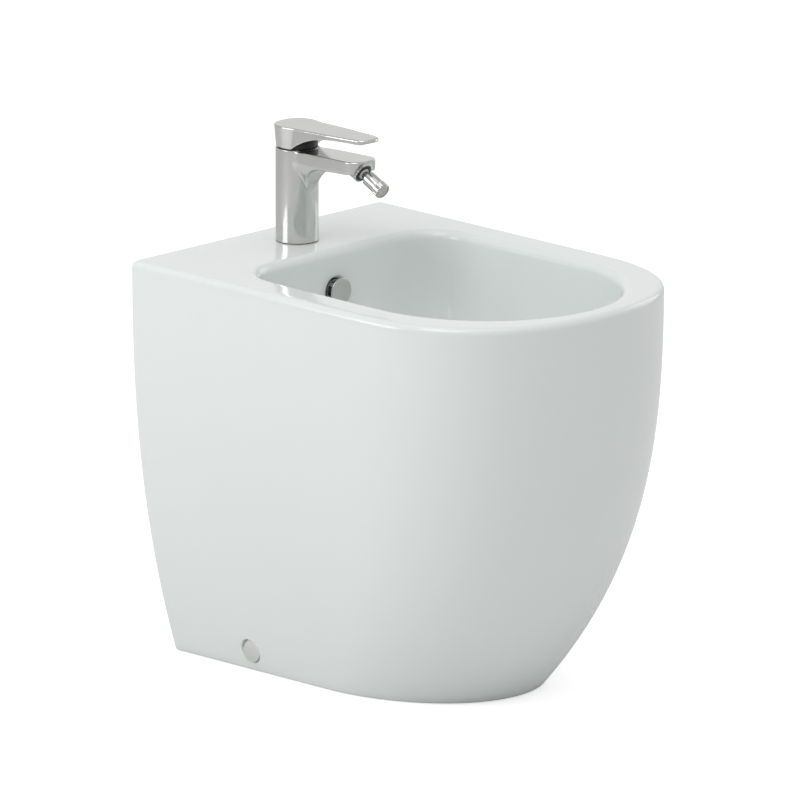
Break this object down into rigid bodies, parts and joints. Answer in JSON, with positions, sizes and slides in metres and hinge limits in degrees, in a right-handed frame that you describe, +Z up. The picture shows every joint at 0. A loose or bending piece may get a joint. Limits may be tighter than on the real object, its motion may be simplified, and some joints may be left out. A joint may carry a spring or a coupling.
{
  "type": "floor standing bidet",
  "caption": "Floor-standing, back-to-wall ceramic bidet with an open bowl, a lever mixer tap with a swivelling nozzle, a pop-up waste, an overflow and a hidden bottle trap.",
  "frame": {"origin": "on the floor, midway between the wall plane and the nose, on the plane of symmetry", "axes": "+X across the bidet, -Y towards the user, +Y into the wall, +Z up"},
  "size_m": [0.358, 0.496, 0.5436],
  "materials": {
    "ceramic": "gloss glaze",
    "chrome": "soft grey polished plate",
    "steel": "plain",
    "brass": "machined",
    "rubber": "matt",
    "nylon": "moulded",
    "black_plastic": "moulded",
    "valve_ceramic": "lapped"
  },
  "bodies": {
    "bidet": {"ceramic_body": "ceramic", "overflow_cover": "chrome", "overflow_grip_ring": "rubber", "floor_brackets": "nylon", "fixing_bushes": "nylon", "fixing_screws": "steel", "fixing_caps": "chrome", "waste_body": "chrome", "waste_flange_gasket": "rubber", "waste_under_gasket": "rubber", "waste_washer": "nylon", "waste_nut": "brass", "tailpiece": "chrome", "tailpiece_seal": "rubber", "click_housing": "nylon", "click_spring": "steel", "trap_inlet_nut": "chrome", "trap_inlet_seal": "rubber", "trap_body": "chrome", "trap_cup": "chrome", "trap_cup_seal": "rubber", "trap_outlet_nut": "chrome", "trap_outlet_seal": "rubber", "trap_outlet_pipe": "chrome", "tap_body": "chrome", "tap_base_gasket": "rubber", "tap_stud": "steel", "clamp_gasket": "rubber", "clamp_plate": "steel", "stud_nut": "brass", "cartridge_housing": "nylon", "cartridge_base": "nylon", "cartridge_seals": "rubber", "fixed_disc": "valve_ceramic", "cartridge_nut": "brass", "tap_shroud": "black_plastic", "nozzle_nut": "black_plastic"},
    "cartridge": {"cartridge_rotor": "nylon", "pivot_pin": "steel"},
    "lever": {"lever": "chrome", "lever_liner": "black_plastic", "lever_stem": "steel", "lever_grub_screw": "steel", "lever_plug": "steel"},
    "discs": {"moving_disc": "valve_ceramic", "disc_carrier": "nylon"},
    "nozzle_seat": {"nozzle_seat": "nylon"},
    "nozzle": {"nozzle_ball": "chrome", "aerator_housing": "chrome", "aerator_insert": "nylon", "aerator_seal": "rubber"},
    "plug": {"plug_cap": "chrome", "plug_seal": "rubber", "plug_stem": "steel"}
  },
  "joints": [
    {"name": "lever_swing", "type": "hinge", "parent": "bidet", "child": "cartridge", "pos_m": [0, 0.188, 0.502], "axis": [0, 0, 1], "range_deg": [-45, 45]},
    {"name": "lever_lift", "type": "hinge", "parent": "cartridge", "child": "lever", "pos_m": [0, 0.188, 0.502], "axis": [-1, 0, 0], "range_deg": [0, 22]},
    {"name": "disc_slide", "type": "slide", "parent": "cartridge", "child": "discs", "axis": [0, -1, 0], "range_m": [0, 0.0053]},
    {"name": "nozzle_spin", "type": "hinge", "parent": "bidet", "child": "nozzle_seat", "pos_m": [0, 0.096, 0.5078], "axis": [0, -0.891, -0.454], "continuous": true},
    {"name": "nozzle_tilt", "type": "hinge", "parent": "nozzle_seat", "child": "nozzle", "pos_m": [0, 0.096, 0.5078], "axis": [1, 0, 0], "range_deg": [-15, 15]},
    {"name": "plug_lift", "type": "slide", "parent": "bidet", "child": "plug", "axis": [0, 0, 1], "range_m": [0, 0.009], "deforming": ["click_spring"]}
  ],
  "couplings": [
    {"joint": "disc_slide", "follows": "lever_lift", "m_per_rad": 0.0135}
  ]
}
